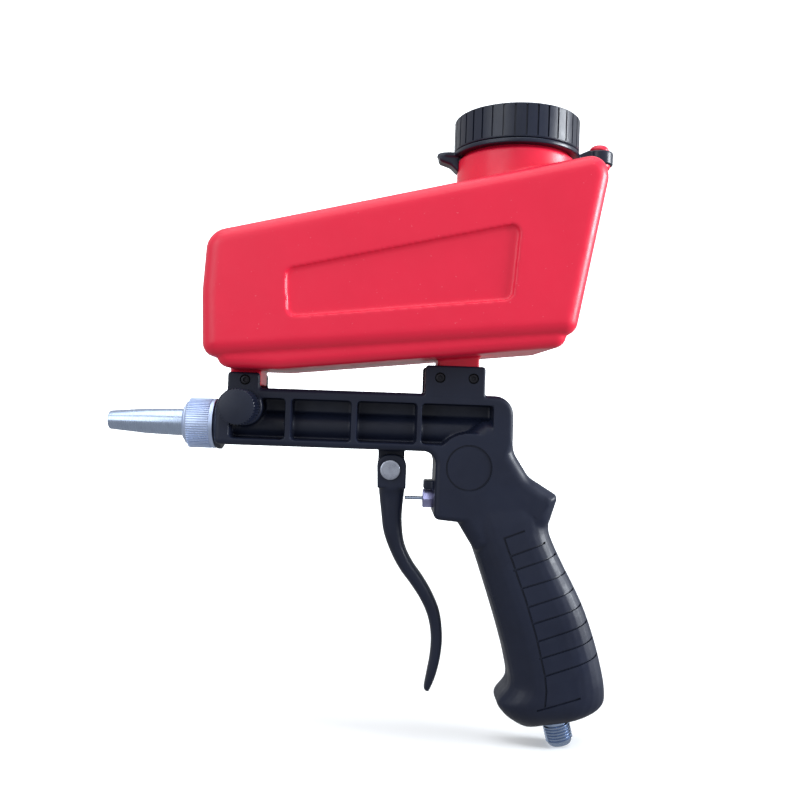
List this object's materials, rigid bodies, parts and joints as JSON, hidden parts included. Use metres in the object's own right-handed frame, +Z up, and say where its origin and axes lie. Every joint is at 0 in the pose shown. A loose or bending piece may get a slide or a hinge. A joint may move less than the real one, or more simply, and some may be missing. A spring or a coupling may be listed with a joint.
{
  "type": "gravity-feed sand blasting gun",
  "caption": "Hand-held pistol-grip abrasive blasting gun with a squeeze trigger, a straight nozzle and a capped gravity-feed hopper on top.",
  "frame": {"origin": "bottom centre of the part's bounding box, under the grip's inlet at rest", "axes": "+Z up, +X from the nozzle towards the grip (the nozzle points along -X), +Y away from the metering knob's side"},
  "size_m": [0.2446, 0.076, 0.3037],
  "materials": {
    "red_plastic": "semi-gloss moulded plastic",
    "black_nylon": "satin moulded nylon",
    "black_cap": "satin moulded plastic",
    "aluminium": "turned",
    "steel": "polished, plated",
    "brass": "turned",
    "rubber": "matt",
    "black_steel": "black oxide"
  },
  "bodies": {
    "gun": {"gun_body": "black_nylon", "mixing_chamber": "aluminium", "air_jet": "brass", "air_tube": "steel", "spindle_seal": "rubber", "trigger_pin": "steel", "pin_clip": "black_steel", "valve_nut": "steel", "stem_seal": "rubber", "valve_seat": "brass", "valve_spring": "steel", "inlet_fitting": "steel", "inlet_seal": "rubber", "hopper": "red_plastic", "outlet_seal": "rubber", "tether_strap": "black_cap", "front_screw_1": "black_steel", "front_screw_2": "black_steel", "rear_screw_1": "black_steel", "rear_nut_1": "steel", "rear_screw_2": "black_steel", "rear_nut_2": "steel"},
    "trigger": {"trigger": "black_nylon"},
    "air_valve": {"valve_stem": "steel", "valve_poppet": "rubber"},
    "metering_valve": {"metering_spindle": "steel", "metering_knob": "black_cap", "spindle_clip": "black_steel"},
    "cap_lift": {"cap_liner": "rubber"},
    "cap": {"hopper_cap": "black_cap"},
    "nozzle": {"nozzle": "steel", "nozzle_seal": "rubber"},
    "collar": {"nozzle_collar": "aluminium"}
  },
  "joints": [
    {"name": "trigger_pull", "type": "hinge", "parent": "gun", "child": "trigger", "pos_m": [0.01565, 0, 0.13245], "axis": [0, -1, 0], "range_deg": [0, 16], "stiffness_Nm_per_rad": 0.5, "springref_deg": -11.46},
    {"name": "valve_slide", "type": "slide", "parent": "gun", "child": "air_valve", "axis": [1, 0, 0], "range_m": [0, 0.0046], "stiffness_N_per_m": 60, "springref_m": -0.005, "deforming": ["valve_spring"]},
    {"name": "metering_turn", "type": "hinge", "parent": "gun", "child": "metering_valve", "pos_m": [-0.05485, 0, 0.16045], "axis": [0, 1, 0], "range_deg": [0, 90]},
    {"name": "cap_rise", "type": "slide", "parent": "gun", "child": "cap_lift", "axis": [0, 0, 1], "range_m": [0, 0.006]},
    {"name": "cap_unscrew", "type": "hinge", "parent": "cap_lift", "child": "cap", "pos_m": [0.07195, 0, 0.29165], "axis": [0, 0, 1], "range_deg": [0, 540.5]},
    {"name": "nozzle_draw", "type": "slide", "parent": "gun", "child": "nozzle", "axis": [-1, 0, 0], "range_m": [0, 0.006]},
    {"name": "collar_unscrew", "type": "hinge", "parent": "nozzle", "child": "collar", "pos_m": [-0.07835, 0, 0.15166], "axis": [-1, 0, 0], "range_deg": [0, 1080.5]}
  ],
  "couplings": [
    {"joint": "valve_slide", "follows": "trigger_pull", "m_per_rad": 0.0164},
    {"joint": "cap_unscrew", "follows": "cap_rise", "rad_per_m": 1570.8},
    {"joint": "collar_unscrew", "follows": "nozzle_draw", "rad_per_m": 3141.6}
  ]
}
